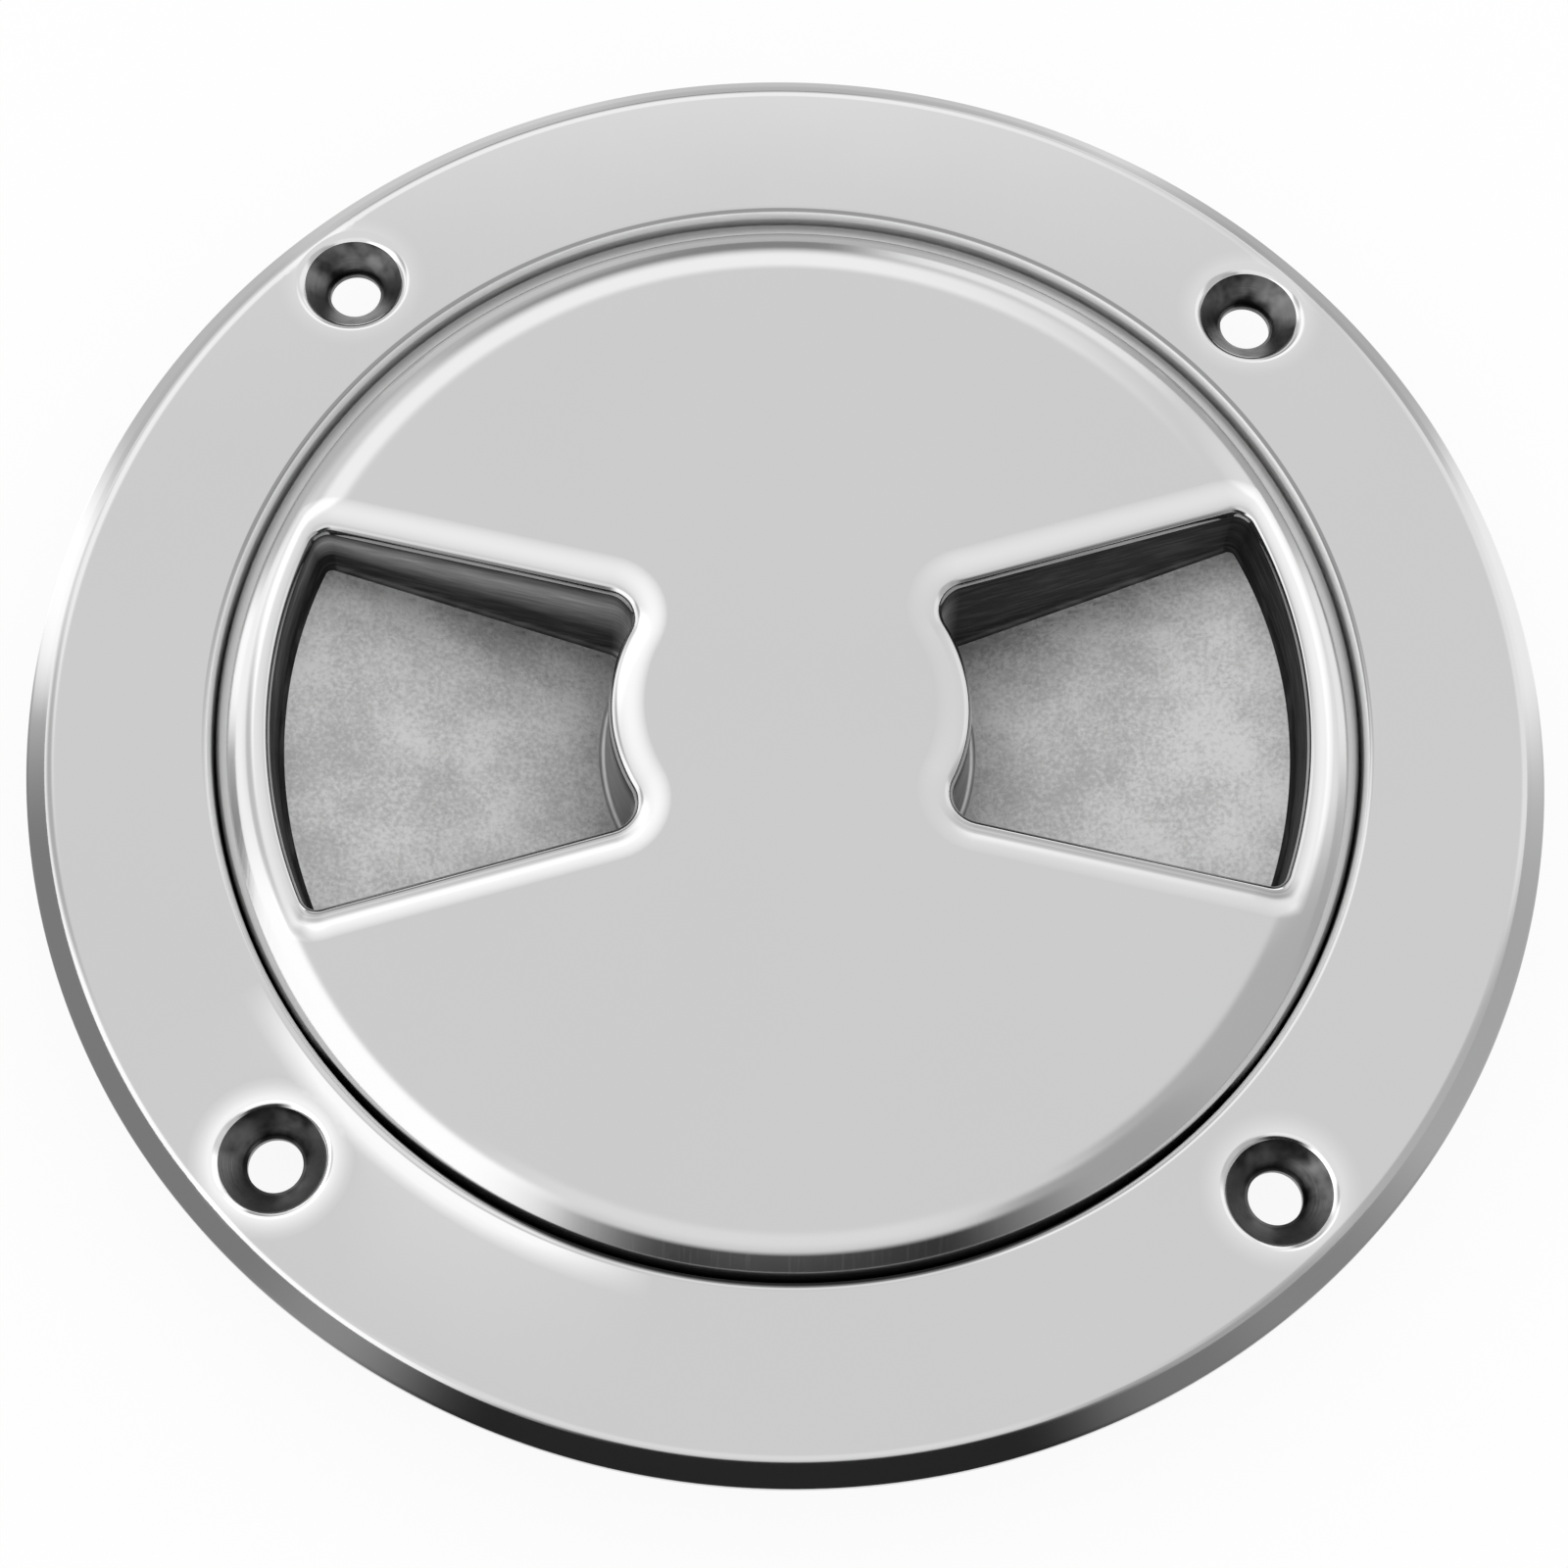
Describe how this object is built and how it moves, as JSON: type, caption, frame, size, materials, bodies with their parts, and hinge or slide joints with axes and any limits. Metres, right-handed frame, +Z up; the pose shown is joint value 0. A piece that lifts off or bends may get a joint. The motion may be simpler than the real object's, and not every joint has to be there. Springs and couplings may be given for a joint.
{
  "type": "deck inspection plate",
  "caption": "Round screw-in deck inspection plate: a countersunk flange ring and a threaded lid with two opposed finger pockets and a seal ring.",
  "frame": {"origin": "centre of the circle of screw holes, on the deck plane that the flange lies on", "axes": "+Z up out of the deck along the lid's screw axis; +X between the two right-hand screw holes, close to the line through both finger pockets"},
  "size_m": [0.143, 0.143, 0.0186],
  "materials": {
    "flange_steel": "cast stainless steel, mirror polished on the upper side",
    "lid_steel": "cast stainless steel, mirror polished on top, left as cast in the finger pockets and underneath",
    "seal_rubber": "black nitrile rubber, matte"
  },
  "bodies": {
    "frame": {"flange_ring": "flange_steel"},
    "seal": {"seal_ring": "seal_rubber"},
    "lid": {"lid": "lid_steel"}
  },
  "joints": [
    {"name": "lid_lift", "type": "slide", "parent": "frame", "child": "seal", "axis": [0, 0, 1], "range_m": [0, 0.009]},
    {"name": "lid_turn", "type": "hinge", "parent": "seal", "child": "lid", "pos_m": [0, 0, 0], "axis": [0, 0, 1], "range_deg": [0, 810]}
  ],
  "couplings": [
    {"joint": "lid_lift", "follows": "lid_turn", "m_per_rad": 0.00063662}
  ]
}
